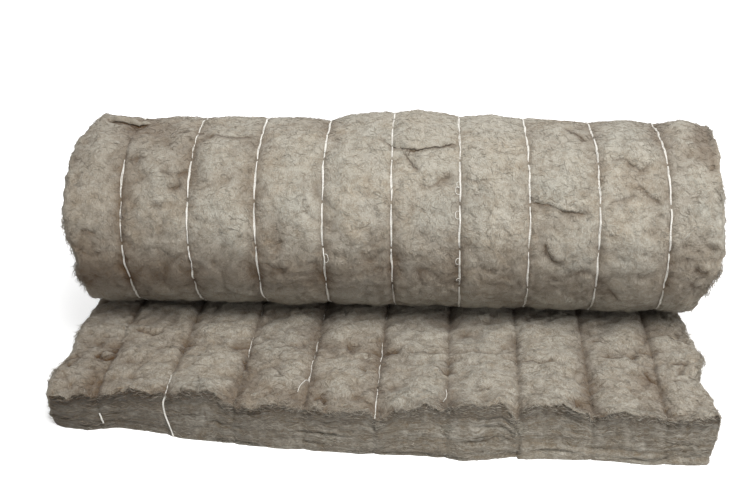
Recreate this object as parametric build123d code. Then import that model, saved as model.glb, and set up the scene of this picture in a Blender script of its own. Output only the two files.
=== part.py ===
from build123d import *
import math
import os

# A stitched mineral wool mat, wound into a roll that lies on its own free end.
# The mat is one long strip of wool, quilted by parallel seams. Its free end is a flap that lies on the floor and
# points along -Y. From there the mat runs back under the roll, up, over and inwards, about an axis along X, so
# that each turn lies just inside the one before. Lengths are in millimetres.
# Its outer face is the one that lies on the floor and then shows round the roll. Its inner face is up on the flap.

# The mat
wound_thickness = 58.0
edge_bevel = 14.0

# The seams, which pinch both faces of the mat, and the strip outside the last of them
seam_count = 9
seam_pitch = 104.0
edge_strip = 84.0
pinch_depth = 8.0
shoulder_reach = 24.0
thread_width = 3.0
thread_height = 1.6
thread_clearance = 0.3

# The roll, which its own weight has flattened a little
roll_height = 356.0
sag_flat = 20.0
turn_gap = 1.0
tightest_bend = 2.0
shown_half_turns = 2

# The flap, which swells again where the roll doesn't press on it, and lies a little askew
flap_reach = 338.0
flap_thickness = 70.0
swell_length = 110.0
flap_skew = 2.4
cut_lean = 14.0

mat_width = (seam_count - 1) * seam_pitch + 2 * edge_strip
turn_pitch = wound_thickness + turn_gap
channel_width = thread_width + 2 * thread_clearance
thread_depth = pinch_depth - thread_clearance - thread_height
seam_places = [(i - (seam_count - 1) / 2) * seam_pitch for i in range(seam_count)]
slant = math.tan(math.radians(flap_skew))
front_of_sag = -sag_flat / 2
back_of_sag = sag_flat / 2


def mat_face(quilted):
    """Points across one face of the mat, from left to right. Each is an X and a depth into the wool."""
    inset = mat_width / 2 - edge_bevel
    points = [(-inset, 0)]
    for place in seam_places if quilted else []:
        left, right = place - channel_width / 2, place + channel_width / 2
        points += [(left - shoulder_reach, 0), (left, pinch_depth)]
        points += [(right, pinch_depth), (right + shoulder_reach, 0)]
    return points + [(inset, 0)]


def mat_section(thickness, outer_quilted, inner_quilted):
    """The mat cut across, with its width along X, its outer face at Y = 0 and its inner face at Y = thickness."""
    edge = mat_width / 2
    low, high = edge_bevel, thickness - edge_bevel
    outer = mat_face(outer_quilted)
    inner = [(x, thickness - depth) for x, depth in reversed(mat_face(inner_quilted))]
    outline = [*outer, (edge, low), (edge, high), *inner, (-edge, high), (-edge, low)]
    return make_face(Polyline(*outline, close=True))


def thread_section(place, low):
    """A thread's section at its seam, with its lower side at that depth into the mat."""
    return Pos(place, low + thread_height / 2) * Rectangle(thread_width, thread_height)


def lower_run(y, level=0.0, shift=0.0):
    """The plane of a section where the mat has its outer face down, at that level."""
    return Plane(origin=(shift, y, level), x_dir=(1, 0, 0), z_dir=(0, -1, 0))


def upper_run(y, level):
    """The plane of a section where the mat has its outer face up, at that level."""
    return Plane(origin=(0, y, level), x_dir=(1, 0, 0), z_dir=(0, 1, 0))


def outer_radius(turn):
    """Radius of the mat's outer face in a half turn. They are counted inwards from 0, which is at the back."""
    return (roll_height - turn * turn_pitch) / 2


def half_turn(section, turn):
    """Sweep a section round a half turn, from below upwards at the back and from above downwards at the front."""
    radius = outer_radius(turn)
    if turn % 2 == 0:
        y, z = back_of_sag, roll_height / 2
        start = lower_run(y, z - radius)
    else:
        y, z = front_of_sag, (roll_height + turn_pitch) / 2
        start = upper_run(y, z + radius)
    return revolve(start * section, axis=Axis((0, y, z), (1, 0, 0)), revolution_arc=180)


def run_after(section, turn):
    """The short flat run that leads from a half turn to the next."""
    radius = outer_radius(turn)
    if turn % 2 == 0:
        return extrude(upper_run(front_of_sag, roll_height / 2 + radius) * section, sag_flat)
    return extrude(lower_run(back_of_sag, (roll_height + turn_pitch) / 2 - radius) * section, sag_flat)


def count_half_turns():
    """As many half turns as fit, before the wool would have to bend tighter than it can."""
    turns = 1
    while outer_radius(turns) - wound_thickness >= tightest_bend:
        turns += 1
    return turns


def flap(section_at):
    """Sweep a section along the flap, from under the roll to past its cut end. It is given the mat's thickness."""
    swollen = front_of_sag - swell_length
    past_end = swell_length - flap_reach - front_of_sag - mat_width * slant - cut_lean
    under_roll = lower_run(front_of_sag) * section_at(wound_thickness)
    at_swell = lower_run(swollen, shift=-swell_length * slant) * section_at(flap_thickness)
    bed = extrude(lower_run(back_of_sag) * section_at(wound_thickness), sag_flat)
    rise = loft([under_roll, at_swell], ruled=True)
    front = extrude(at_swell, amount=past_end, dir=(slant, 1, 0))
    return [bed, rise, split(front, bisect_by=cut_plane(), keep=Keep.BOTTOM)]


def cut_plane():
    """The plane of the mat's cut end, square to the flap's length, with its foot standing out past its top."""
    past_sag = flap_reach + front_of_sag
    top = (-past_sag * slant, -flap_reach, flap_thickness)
    return Plane(origin=top, z_dir=(-slant, -1, cut_lean / flap_thickness))


def make_mat():
    """The whole mat. Only the faces that show are quilted, and between the turns they are plain."""
    spans = flap(lambda thickness: mat_section(thickness, True, True))
    for turn in range(count_half_turns()):
        spans.append(half_turn(mat_section(wound_thickness, turn < shown_half_turns, False), turn))
        spans.append(run_after(mat_section(wound_thickness, turn + 1 < shown_half_turns, False), turn))
    return spans[0].fuse(*spans[1:])


def make_outer_thread(place):
    """A seam's thread in the outer face, from the cut end, under and round the roll, until the flap hides it."""
    section = thread_section(place, thread_depth)
    spans = flap(lambda thickness: section)
    for turn in range(shown_half_turns):
        spans.append(half_turn(section, turn))
        if turn + 1 < shown_half_turns:
            spans.append(run_after(section, turn))
    return spans[0].fuse(*spans[1:])


def make_inner_thread(place):
    """A seam's thread in the inner face, from the cut end until the roll hides it."""
    spans = flap(lambda thickness: thread_section(place, thickness - thread_depth - thread_height))
    return spans[0].fuse(*spans[1:])


# The origin is on the floor, in the middle of the footprint
mat = make_mat()
box = mat.bounding_box()
to_origin = Pos(-(box.min.X + box.max.X) / 2, -(box.min.Y + box.max.Y) / 2, -box.min.Z)

os.makedirs("parts", exist_ok=True)
export_step(to_origin * mat, "parts/wool_mat.step")
for number, place in enumerate(seam_places, start=1):
    export_step(to_origin * make_outer_thread(place), f"parts/outer_thread_{number}.step")
    export_step(to_origin * make_inner_thread(place), f"parts/inner_thread_{number}.step")
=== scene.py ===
import bpy
import numpy as np
from mathutils import Matrix, Vector


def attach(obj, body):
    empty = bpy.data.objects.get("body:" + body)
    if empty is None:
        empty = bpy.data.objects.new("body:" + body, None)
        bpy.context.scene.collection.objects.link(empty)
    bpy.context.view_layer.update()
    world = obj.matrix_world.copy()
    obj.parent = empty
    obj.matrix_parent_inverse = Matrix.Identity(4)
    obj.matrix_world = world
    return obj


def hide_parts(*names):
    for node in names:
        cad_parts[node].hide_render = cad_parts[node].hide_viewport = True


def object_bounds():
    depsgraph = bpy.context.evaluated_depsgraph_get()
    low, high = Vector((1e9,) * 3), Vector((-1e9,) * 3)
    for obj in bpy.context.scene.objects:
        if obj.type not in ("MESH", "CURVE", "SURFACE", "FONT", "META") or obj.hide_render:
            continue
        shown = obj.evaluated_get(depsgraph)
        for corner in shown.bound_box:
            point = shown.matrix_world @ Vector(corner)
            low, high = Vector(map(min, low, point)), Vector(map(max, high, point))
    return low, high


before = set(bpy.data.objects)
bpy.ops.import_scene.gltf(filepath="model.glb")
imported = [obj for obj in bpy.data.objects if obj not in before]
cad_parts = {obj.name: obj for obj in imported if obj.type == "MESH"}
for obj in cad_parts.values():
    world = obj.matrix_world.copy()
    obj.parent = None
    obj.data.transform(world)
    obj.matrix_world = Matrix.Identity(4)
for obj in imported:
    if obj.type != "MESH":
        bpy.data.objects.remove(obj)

cad_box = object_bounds()

# Lengths are in millimetres until a mesh is made. Along the mat, places are counted from below the roll's middle:
# they are negative on the flap and grow as the mat winds up. Across it they run from -500 to 500.
MM = 0.001
HALF_WIDTH = 500.0
# The mat's thickness where it is wound, and on the flap, which it swells to over that length
WOUND = 58.0
SWOLLEN = 70.0
SWELL_LENGTH = 110.0
ROLL_HEIGHT = 356.0
TURN_PITCH = 59.0
# The length of the short flat runs between the half turns
SAG = 20.0
HALF_TURNS = 5
# The flap's reach from the roll's middle, how far its cut leans out at the foot, and how much the cut slopes across
REACH = 338.0
CUT_LEAN = 14.0
CUT_SLOPE = 0.0361
# How far the mat drifts to the right for each millimetre that it winds, and where that puts its middle at the start
DRIFT = 0.0159
OFFSET = -3.33
SEAM_PITCH = 104.0
SEAMS = np.arange(-4, 5) * SEAM_PITCH
# The distance between needle holes, and the place of one of them
STITCH = 59.0
FIRST_PUNCTURE = 563.0
AXIS_Y = cad_box[1][1] / MM - SAG / 2 - ROLL_HEIGHT / 2
FLAP_LENGTH = REACH - SAG / 2
MID_RADII = [(ROLL_HEIGHT - k * TURN_PITCH) / 2 - WOUND / 2 for k in range(HALF_TURNS)]
TOP_START = SAG + np.pi * MID_RADII[0]
FRONT_START = TOP_START + SAG
FRONT_END = FRONT_START + np.pi * MID_RADII[1]
INNER_END = SAG + sum(np.pi * r + SAG for r in MID_RADII)

# The camera, which was fitted to the photograph
IMAGE_SIZE = (750, 493)
CAMERA_PLACE = np.array([88.9, -1445.4, 1024.6])
YAW, PITCH_DOWN, ROLL = np.radians((-4.36, 29.82, -1.164))
FOCAL_PIXELS = 1055.4
SENSOR = 36.0


def camera_axes():
    """The camera's right, up and forward directions."""
    ahead = np.array([np.sin(YAW) * np.cos(PITCH_DOWN), np.cos(YAW) * np.cos(PITCH_DOWN), -np.sin(PITCH_DOWN)])
    level = np.array([np.cos(YAW), -np.sin(YAW), 0.0])
    over = np.cross(level, ahead)
    right = np.cos(ROLL) * level + np.sin(ROLL) * over
    up = -np.sin(ROLL) * level + np.cos(ROLL) * over
    return right, up, ahead


RIGHT, UP, AHEAD = camera_axes()


def sight(pixel):
    """The direction from the camera through a pixel of the photograph."""
    x = (pixel[0] - IMAGE_SIZE[0] / 2) / FOCAL_PIXELS
    y = (pixel[1] - IMAGE_SIZE[1] / 2) / FOCAL_PIXELS
    return AHEAD + RIGHT * x - UP * y


def on_roll(pixel):
    """The place on the roll's front that a pixel shows, across and along the mat."""
    ray = sight(pixel)
    radius = (ROLL_HEIGHT - TURN_PITCH) / 2
    centre = np.array([AXIS_Y - SAG / 2, (ROLL_HEIGHT + TURN_PITCH) / 2])
    start = CAMERA_PLACE[1:] - centre
    a, b, c = ray[1:] @ ray[1:], 2 * start @ ray[1:], start @ start - radius ** 2
    reach = (-b - np.sqrt(max(b * b - 4 * a * c, 0))) / (2 * a)
    point = CAMERA_PLACE + ray * reach
    along = FRONT_START + np.arctan2(centre[0] - point[1], point[2] - centre[1]) * MID_RADII[1]
    if point[1] > centre[0]:
        point = CAMERA_PLACE + ray * (ROLL_HEIGHT - CAMERA_PLACE[2]) / ray[2]
        along = FRONT_START + centre[0] - point[1]
    return point[0] - OFFSET - DRIFT * along, along


def on_flap(pixel):
    """The place on the flap's top that a pixel shows, across and along the mat."""
    ray = sight(pixel)
    point = CAMERA_PLACE + ray * (SWOLLEN - CAMERA_PLACE[2]) / ray[2]
    along = point[1] - AXIS_Y + SAG / 2
    return point[0] - OFFSET - DRIFT * along, along


# Seeded noise

GRADIENTS = np.array(list(np.ndindex(3, 3, 3)), float) - 1
GRADIENTS = GRADIENTS[np.abs(GRADIENTS).sum(axis=1) == 2]
CELLS_TO_POSITIVE = 100000
NOISE_GAIN = 1.3


def hashed(cells, seed):
    """A repeatable whole number for each lattice cell."""
    c = cells.astype(np.uint64)
    h = c[:, 0] * np.uint64(0x9E3779B97F4A7C15) ^ c[:, 1] * np.uint64(0xC2B2AE3D27D4EB4F)
    h = h ^ c[:, 2] * np.uint64(0x165667B19E3779F9) ^ np.uint64(seed * 7919 + 17)
    h = (h ^ (h >> np.uint64(29))) * np.uint64(0xBF58476D1CE4E5B9)
    return h ^ (h >> np.uint64(32))


def noise(points, size, seed):
    """Smooth noise of about -1 to 1 with features of that size. Size may be one number or three."""
    p = points / np.asarray(size, float)
    cell = np.floor(p)
    part = p - cell
    fade = part ** 3 * (part * (part * 6 - 15) + 10)
    total = np.zeros(len(p))
    for corner in np.ndindex(2, 2, 2):
        step = np.array(corner, float)
        slope = GRADIENTS[hashed(cell + step + CELLS_TO_POSITIVE, seed) % np.uint64(12)]
        weight = np.prod(np.where(step > 0, fade, 1 - fade), axis=1)
        total += weight * np.sum(slope * (part - step), axis=1)
    return total * NOISE_GAIN


def octaves(points, *layers):
    """The sum of several noises, each given by its size, seed and height."""
    return sum(noise(points, size, seed) * height for size, seed, height in layers)


def stacked(*columns):
    """Points from three columns, any of which may be one number."""
    return np.stack(np.broadcast_arrays(*columns), axis=1).astype(float)


def bell(x, width):
    """1 at 0, falling smoothly to nothing a few widths away."""
    return np.exp(-(x / width) ** 2)


def smooth(x, low, high):
    """From 0 at low to 1 at high."""
    t = np.clip((x - low) / (high - low), 0, 1)
    return t * t * (3 - 2 * t)


def fall(x, low, high):
    """From 1 at low to 0 at high."""
    return smooth(-x, -high, -low)


# The mat's shape

def thickness(along):
    """The mat's thickness at a place along it: swollen on the flap and pressed flatter under and in the roll."""
    return SWOLLEN + (WOUND - SWOLLEN) * smooth(along, -SWELL_LENGTH, 0.0)


def wind(along, depth):
    """Y and Z of a point of the mat, from its place along it and its depth from the outer face."""
    y = AXIS_Y - SAG / 2 + along
    z = depth.copy()
    start = SAG
    for turn, mid in enumerate(MID_RADII):
        side = 1 if turn % 2 == 0 else -1
        middle_y = AXIS_Y + side * SAG / 2
        middle_z = ROLL_HEIGHT / 2 if side > 0 else (ROLL_HEIGHT + TURN_PITCH) / 2
        angle = np.clip((along - start) / mid, 0, np.pi)
        past = np.clip(along - start - np.pi * mid, 0, None)
        radius = mid + WOUND / 2 - depth
        here = along > start
        y = np.where(here, middle_y + side * (radius * np.sin(angle) - past), y)
        z = np.where(here, middle_z - side * radius * np.cos(angle), z)
        start += np.pi * mid + SAG
    return y, z


def to_space(across, along, depth):
    """Points of the mat in the row frame, in millimetres. The winding drifts a little to the right as it goes."""
    across, along, depth = stacked(across, along, depth).T
    y, z = wind(along, depth)
    return stacked(OFFSET + DRIFT * along + across, y, z)


def line_distance(across, along, line):
    """Signed distance from a line of places on the mat, and how far along the line, from 0 to 1."""
    best = np.full(len(across), 1e9)
    side = np.ones(len(across))
    share = np.zeros(len(across))
    lengths = [np.hypot(*(np.subtract(b, a))) for a, b in zip(line, line[1:])]
    done = 0.0
    for (a, b), length in zip(zip(line, line[1:]), lengths):
        a, step = np.array(a), (np.array(b) - a) / length
        rel_x, rel_y = across - a[0], along - a[1]
        t = np.clip(rel_x * step[0] + rel_y * step[1], 0, length)
        d = np.hypot(rel_x - t * step[0], rel_y - t * step[1])
        nearer = d < best
        best = np.where(nearer, d, best)
        side = np.where(nearer, np.sign(rel_x * step[1] - rel_y * step[0]), side)
        share = np.where(nearer, (done + t) / sum(lengths), share)
        done += length
    return best * side, share


# Creases and torn lips in the wool, by the pixels they show at, from left to right: the line, how high the upper
# lip stands, how wide it is. The wool above the line hangs over the wool below it.
ROLL_CREASES = [
    ([(102, 119), (110, 119.5), (122, 120), (134, 120), (152, 119)], 13.0, 9.0),
    ([(126, 156), (132, 154), (139, 154), (147, 157)], 2.8, 8.0),
    ([(174, 170), (181, 168), (188, 166)], 3.0, 8.0),
    ([(176, 130), (184, 128), (192, 130)], 3.0, 8.0),
    ([(200, 133), (214, 133), (228, 136), (243, 135), (257, 132)], 4.0, 10.0),
    ([(376, 141), (388, 143), (396, 147), (411, 150), (430, 147), (457, 141), (464, 141)], 8.0, 10.0),
    ([(403, 153), (411, 160), (421, 169)], 4.9, 7.0),
    ([(417, 182), (427, 185), (440, 180), (453, 174)], 2.4, 8.0),
    ([(528, 200), (550, 204), (566, 209), (578, 211), (592, 212)], 5.0, 6.0),
    ([(562, 126), (573, 129), (582, 134), (588, 141)], 4.9, 10.0),
    ([(610, 156), (626, 158), (640, 168), (652, 161)], 3.2, 8.0),
    ([(638, 180), (644, 187), (652, 195), (664, 203)], 3.2, 9.0),
    ([(604, 203), (616, 200), (628, 196), (640, 197)], 2.2, 8.0),
    ([(546, 243), (548, 252), (554, 260), (564, 261)], 4.9, 8.0),
    ([(158, 169), (166, 171), (174, 168)], 2.5, 6.0),
    ([(165, 185), (172, 187), (180, 184)], 3.0, 6.0),
    ([(608, 289), (614, 295), (621, 302)], 3.5, 7.0),
    ([(696, 268), (704, 272), (713, 270)], 3.5, 8.0),
    ([(694, 284), (702, 287), (710, 285)], 3.5, 8.0),
    ([(80, 232), (88, 229), (97, 233)], 3.0, 8.0),
    ([(262, 262), (276, 267), (292, 268)], 2.5, 9.0),
    ([(464, 176), (478, 180), (492, 178)], 2.5, 8.0),
]
FLAP_CREASES = [
    ([(150, 352), (170, 350), (192, 352)], 4.0, 9.0),
    ([(268, 350), (290, 347), (308, 350)], 4.0, 9.0),
    ([(372, 351), (386, 351), (402, 351)], 6.0, 8.0),
    ([(405, 352), (426, 353), (448, 352)], 4.0, 8.0),
    ([(450, 352), (470, 351), (505, 353)], 4.0, 9.0),
    ([(520, 359), (535, 361), (556, 361)], 5.0, 9.0),
    ([(596, 352), (620, 355), (646, 352)], 4.0, 9.0),
    ([(673, 360), (684, 361), (696, 361)], 6.0, 9.0),
    ([(657, 332), (672, 334), (684, 338), (695, 343)], 5.0, 8.0),
    ([(675, 376), (684, 377), (693, 380)], 5.0, 8.0),
    ([(641, 366), (648, 372), (658, 377)], 5.0, 8.0),
    ([(590, 337), (598, 339), (606, 342)], 4.0, 7.0),
    ([(545, 361), (552, 361), (561, 364)], 4.0, 7.0),
    ([(598, 413), (607, 415), (618, 420)], 4.0, 6.0),
    ([(572, 392), (576, 398), (582, 403)], 4.0, 6.0),
    ([(132, 331), (142, 336), (154, 337), (167, 332)], 6.0, 8.0),
    ([(86, 359), (94, 363), (104, 363), (117, 356)], 7.0, 9.0),
    ([(213, 351), (232, 348), (252, 346), (272, 341)], 4.0, 7.0),
    ([(178, 344), (188, 346), (198, 348)], 4.0, 7.0),
    ([(240, 358), (243, 366), (247, 373)], 4.0, 6.0),
    ([(345, 342), (348, 348), (353, 354)], 4.0, 6.0),
    ([(268, 366), (276, 372), (282, 381)], 4.0, 6.0),
    ([(355, 366), (366, 370), (376, 371)], 4.0, 6.0),
    ([(432, 366), (446, 369), (458, 372)], 4.0, 6.0),
    ([(472, 388), (480, 391), (492, 390)], 4.0, 6.0),
    ([(122, 382), (136, 384), (150, 381)], 4.0, 6.0),
    ([(92, 362), (104, 354), (118, 352)], 5.0, 8.0),
    ([(312, 398), (320, 396), (324, 402)], 5.0, 7.0),
    ([(204, 322), (222, 325), (240, 323)], 3.0, 8.0),
    ([(470, 324), (490, 322), (510, 325)], 3.0, 8.0),
]
# Pits and humps, by pixel: the middle, the radius, and how far the wool stands out or sinks in
ROLL_SPOTS = [
    ((164, 170), 9, -2.5), ((172, 186), 10, -3), ((136, 157), 8, -2), ((160, 180), 14, 3), ((118, 116), 40, 3),
    ((440, 180), 14, -4), ((430, 165), 16, 3), ((405, 135), 45, 5), ((420, 120), 60, 5), ((300, 150), 40, 2),
    ((556, 190), 22, 4), ((560, 222), 18, -3), ((630, 185), 18, -3), ((645, 150), 25, 4), ((700, 170), 25, 3),
    ((90, 200), 30, 3), ((85, 245), 25, -3), ((230, 240), 35, 3), ((490, 240), 35, 3), ((300, 255), 30, 2),
    ((640, 265), 30, 3), ((100, 270), 24, 3), ((575, 170), 22, 3), ((700, 245), 22, -3),
]
FLAP_SPOTS = [
    ((120, 330), 30, 5), ((115, 375), 26, 6), ((160, 320), 22, -4), ((222, 395), 22, -8), ((203, 391), 18, 6),
    ((150, 372), 22, 4), ((225, 365), 30, 5), ((285, 380), 26, 6), ((345, 370), 30, 5), ((350, 345), 10, -5),
    ((392, 385), 18, -7), ((398, 398), 14, 6), ((425, 380), 28, 5), ((480, 380), 26, 6), ((484, 399), 16, -6),
    ((500, 403), 14, 6), ((515, 408), 10, -5), ((540, 400), 22, 8), ((580, 400), 18, -9), ((556, 380), 26, 6),
    ((620, 395), 28, 7), ((648, 374), 14, -6), ((690, 395), 24, 5), ((690, 366), 12, -6), ((700, 340), 16, 4),
    ((250, 332), 24, 4), ((340, 330), 26, 4), ((420, 330), 26, 4), ((545, 335), 26, 4), ((620, 335), 26, 5),
    ((95, 345), 16, -4), ((75, 380), 18, 4),
]
# The outlines, by the pixels they show at in the photograph: the roll's top, its ends and the flap's edges
TOP_OUTLINE = [
    (62, 121), (100, 114), (108, 116), (124, 118), (140, 119), (152, 120), (180, 117), (203, 118), (225, 117),
    (271, 117), (300, 117.5), (331, 119), (350, 115), (370, 112), (395, 112), (415, 112), (440, 114), (460, 116),
    (490, 114), (521, 118), (586, 122), (620, 120), (657, 124), (680, 121), (694, 123), (703, 130), (716, 137),
]
ROLL_LEFT_OUTLINE = [
    (95, 118), (80, 133), (69, 150), (65, 170), (60, 190), (59, 195), (61, 220), (62, 240), (71, 258), (74, 275),
    (84, 290), (91, 300),
]
ROLL_RIGHT_OUTLINE = [
    (716, 127), (721, 147), (723, 165), (725, 185), (723, 205), (727, 228), (728, 252), (723, 272), (711, 288),
    (700, 303),
]
FLAP_LEFT_OUTLINE = [
    (97, 300), (92, 309), (87, 316), (82, 325), (73, 341), (74, 350), (67, 358), (58, 366), (50, 374), (47, 385),
    (48, 398),
]
FLAP_RIGHT_OUTLINE = [
    (680, 313), (684, 330), (692, 340), (700, 352), (686, 368), (702, 381), (711, 392), (718, 408), (719, 418),
]
# The top and the foot of the cut end, by pixel
CUT_TOP_OUTLINE = [
    (60, 397), (75, 391), (94, 394), (130, 390), (166, 390), (190, 391), (203, 388), (215, 392), (225, 400),
    (250, 405), (275, 402), (303, 404), (340, 408), (372, 410), (378, 416), (392, 408), (447, 404), (480, 406),
    (500, 404), (511, 409), (516, 414), (522, 409), (535, 404), (560, 405), (590, 412), (630, 414), (670, 417),
    (700, 417), (719, 417),
]
CUT_FOOT_OUTLINE = [
    (45, 422), (60, 427), (90, 430), (115, 427), (145, 430), (173, 437), (230, 443), (285, 450), (345, 453),
    (385, 456), (415, 456), (445, 459), (460, 462), (485, 461), (510, 457), (538, 456), (589, 458), (650, 462),
    (715, 463),
]


def creases_on_mat(finder, creases):
    """A face's creases, with places on the mat for pixels."""
    return [([finder(pixel) for pixel in line], height, width) for line, height, width in creases]


def spots_on_mat(finder, spots):
    """A face's pits and humps, with places on the mat for pixels."""
    return [(finder(pixel), radius, height) for pixel, radius, height in spots]


CREASES = {"outer": creases_on_mat(on_roll, ROLL_CREASES), "inner": creases_on_mat(on_flap, FLAP_CREASES)}
SPOTS = {"outer": spots_on_mat(on_roll, ROLL_SPOTS), "inner": spots_on_mat(on_flap, FLAP_SPOTS)}
# How far round a crease its effect is worked out, the height that its relief stops growing at, and how much of its
# height shows
CREASE_MARGIN = 60.0
HIGHEST_RELIEF = 8.0
SHOWN_HEIGHT = 0.42


def seam_distance(across):
    """Distance across the mat to the nearest seam."""
    return np.min(np.abs(across[:, None] - SEAMS[None, :]), axis=1)


def puncture_distance(along):
    """Distance along the mat to the nearest row of needle holes."""
    part = (along - FIRST_PUNCTURE) / STITCH
    return np.abs(part - np.round(part)) * STITCH


def pinch(across, along, depth):
    """How far the stitching pulls a face in: a soft valley along each seam, deepest at the needle holes."""
    off = seam_distance(across)
    hole = bell(puncture_distance(along), 8.0)
    valley = np.exp(-off / 6.5) * depth * 1.08 + bell(off, 28.0) * depth * 0.28
    return valley + 1.6 * hole * bell(off, 7.0)


def near_creases(across, along, face):
    """For each crease of a face: the points near it, their signed distance from it, how much of it is left there
    as it fades towards its ends, its height and its width."""
    for line, height, width in CREASES[face]:
        low, high = np.min(line, axis=0) - CREASE_MARGIN, np.max(line, axis=0) + CREASE_MARGIN
        near = np.where((across > low[0]) & (across < high[0]) & (along > low[1]) & (along < high[1]))[0]
        wavy = along[near] + noise(stacked(across[near], along[near], 0.0), 22.0, 71) * 4.0
        distance, share = line_distance(across[near], wavy, line)
        yield near, distance, smooth(share, 0.0, 0.18) * fall(share, 0.82, 1.0), height, width


def painted_crease_shade(across, along, face):
    """How much painted shade darkens the slits of a face's creases, from 0 to 1."""
    total = np.zeros(len(across))
    for near, d, ends, height, _ in near_creases(across, along, face):
        total[near] += bell(d + 3.5, 2.6 + 0.25 * height) * ends * min(height / HIGHEST_RELIEF, 1.0)
    return np.clip(total, 0, 1)


def nearest_crease(across, along, face):
    """The signed distance from a face's nearest crease, and how strongly that crease shows, from 0 to 1."""
    distance, strength = np.full(len(across), CREASE_MARGIN), np.zeros(len(across))
    for near, d, ends, height, _ in near_creases(across, along, face):
        closer = np.abs(d) < np.abs(distance[near])
        found = near[closer]
        distance[found], strength[found] = d[closer], ends[closer] * min(height / 6.0, 1.0)
    return distance, strength


def relief(across, along, face):
    """Creases and spots of a face."""
    total = np.zeros(len(across))
    for near, d, ends, height, width in near_creases(across, along, face):
        step = np.tanh(d / 2.5) * np.exp(-np.abs(d) / width) * min(height, HIGHEST_RELIEF) * SHOWN_HEIGHT
        groove = bell(d + 4.0, 5.5) * min(height, HIGHEST_RELIEF) * SHOWN_HEIGHT
        total[near] += (step - groove) * ends
    for (x, s), radius, height in SPOTS[face]:
        total += height * np.exp(-((across - x) ** 2 + (along - s) ** 2) / radius ** 2)
    return total


def wool_relief(places, broad, lumps, seed):
    """The wool's own unevenness."""
    total = octaves(places, (130.0, seed, broad), (48.0, seed + 1, lumps))
    folds = 1 - np.abs(noise(places, (44.0, 30.0, 30.0), seed + 5)) * 2.6
    total -= np.clip(folds - 0.5, 0, None) * lumps * 1.5
    total += noise(places, 21.0, seed + 2) * lumps * 0.55
    total += noise(places, 10.0, seed + 3) * lumps * 0.32
    pits = noise(places, (26.0, 20.0, 20.0), seed + 4)
    total -= np.clip(pits - 0.42, 0, None) * 9.0
    return total


# The mat's mesh is a row of closed rings round its section, with the cut end and the inner end closed by grids

def across_places(fine):
    """Places across a face: close together by the seams, and wider apart between them."""
    if not fine:
        return np.concatenate([[-500, -494], np.linspace(-486, 486, 37), [494, 500]])
    steps = np.array([2, 4.5, 7.5, 11, 15, 19.5, 24, 28.5, 33.5, 38.5, 43.5, 48])
    places = set(SEAMS) | {0.5 * (a + b) for a, b in zip(SEAMS, SEAMS[1:])}
    for seam in SEAMS:
        places |= set(seam + steps) | set(seam - steps)
    edge = [52, 56.5, 61, 65.5, 69.5, 73.5, 77, 80, 82.3, 84]
    places |= {SEAMS[-1] + e for e in edge} | {SEAMS[0] - e for e in edge}
    return np.array(sorted(places))


FINE_ACROSS = across_places(True)
COARSE_ACROSS = across_places(False)
FINE_DEPTH = np.linspace(0, 1, 31)
COARSE_DEPTH = np.array([0, 0.05, 0.12, 0.2, 0.3, 0.4, 0.5, 0.6, 0.7, 0.8, 0.88, 0.95, 1])
CORNER = 11.0

mat_columns = {"across": [], "share": [], "along": []}


def add_points(across, share, along):
    """Adds points, and returns their numbers."""
    start = sum(map(len, mat_columns["across"]))
    for name, values in (("across", across), ("share", share), ("along", along)):
        mat_columns[name].append(np.broadcast_to(values, np.shape(across)).astype(float))
    return np.arange(start, start + len(across))


def add_ring(along, outer, inner, depths):
    """A ring round the mat. Returns its four sides as point numbers, with the places that they are at."""
    low = add_points(outer, 0.0, along)
    right = add_points(np.full(len(depths) - 2, HALF_WIDTH), depths[1:-1], along)
    high = add_points(inner, 1.0, along)
    left = add_points(np.full(len(depths) - 2, -HALF_WIDTH), depths[1:-1], along)
    return [
        (low, outer),
        (np.concatenate([[low[-1]], right, [high[-1]]]), depths),
        (high, inner),
        (np.concatenate([[low[0]], left, [high[0]]]), depths),
    ]


def zip_lines(first, second, flip):
    """Faces between two lines of points, whose places need not match."""
    (a, at_a), (b, at_b) = first, second
    found = []
    if len(a) == len(b):
        for i in range(len(a) - 1):
            found.append((a[i], a[i + 1], b[i + 1], b[i]))
    else:
        i = j = 0
        while i < len(a) - 1 or j < len(b) - 1:
            if j == len(b) - 1 or (i < len(a) - 1 and at_a[i + 1] <= at_b[j + 1]):
                found.append((a[i], a[i + 1], b[j]))
                i += 1
            else:
                found.append((a[i], b[j + 1], b[j]))
                j += 1
    return [f[::-1] for f in found] if flip else found


def add_end(ring, along, depths, inside_out):
    """A grid that closes the mat at a ring. Its columns are the ring's."""
    (low, outer), (right, _), (high, _), (left, _) = ring
    rows = [low]
    for k in range(1, len(depths) - 1):
        middle = add_points(outer[1:-1], depths[k], along)
        rows.append(np.concatenate([[left[k]], middle, [right[k]]]))
    rows.append(high)
    found = []
    for a, b in zip(rows, rows[1:]):
        found += zip_lines((a, outer), (b, outer), inside_out)
    return found, np.concatenate([r[1:-1] for r in rows[1:-1]])


# The distances between rings: on the flap, low at the back of the roll, higher up, down its front, and further in
FLAP_STEP, LOW_BACK_STEP, BACK_STEP, FRONT_STEP, INNER_STEP = 4.2, 8.0, 5.0, 3.9, 10.0
LOW_BACK_END = 330.0


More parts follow.
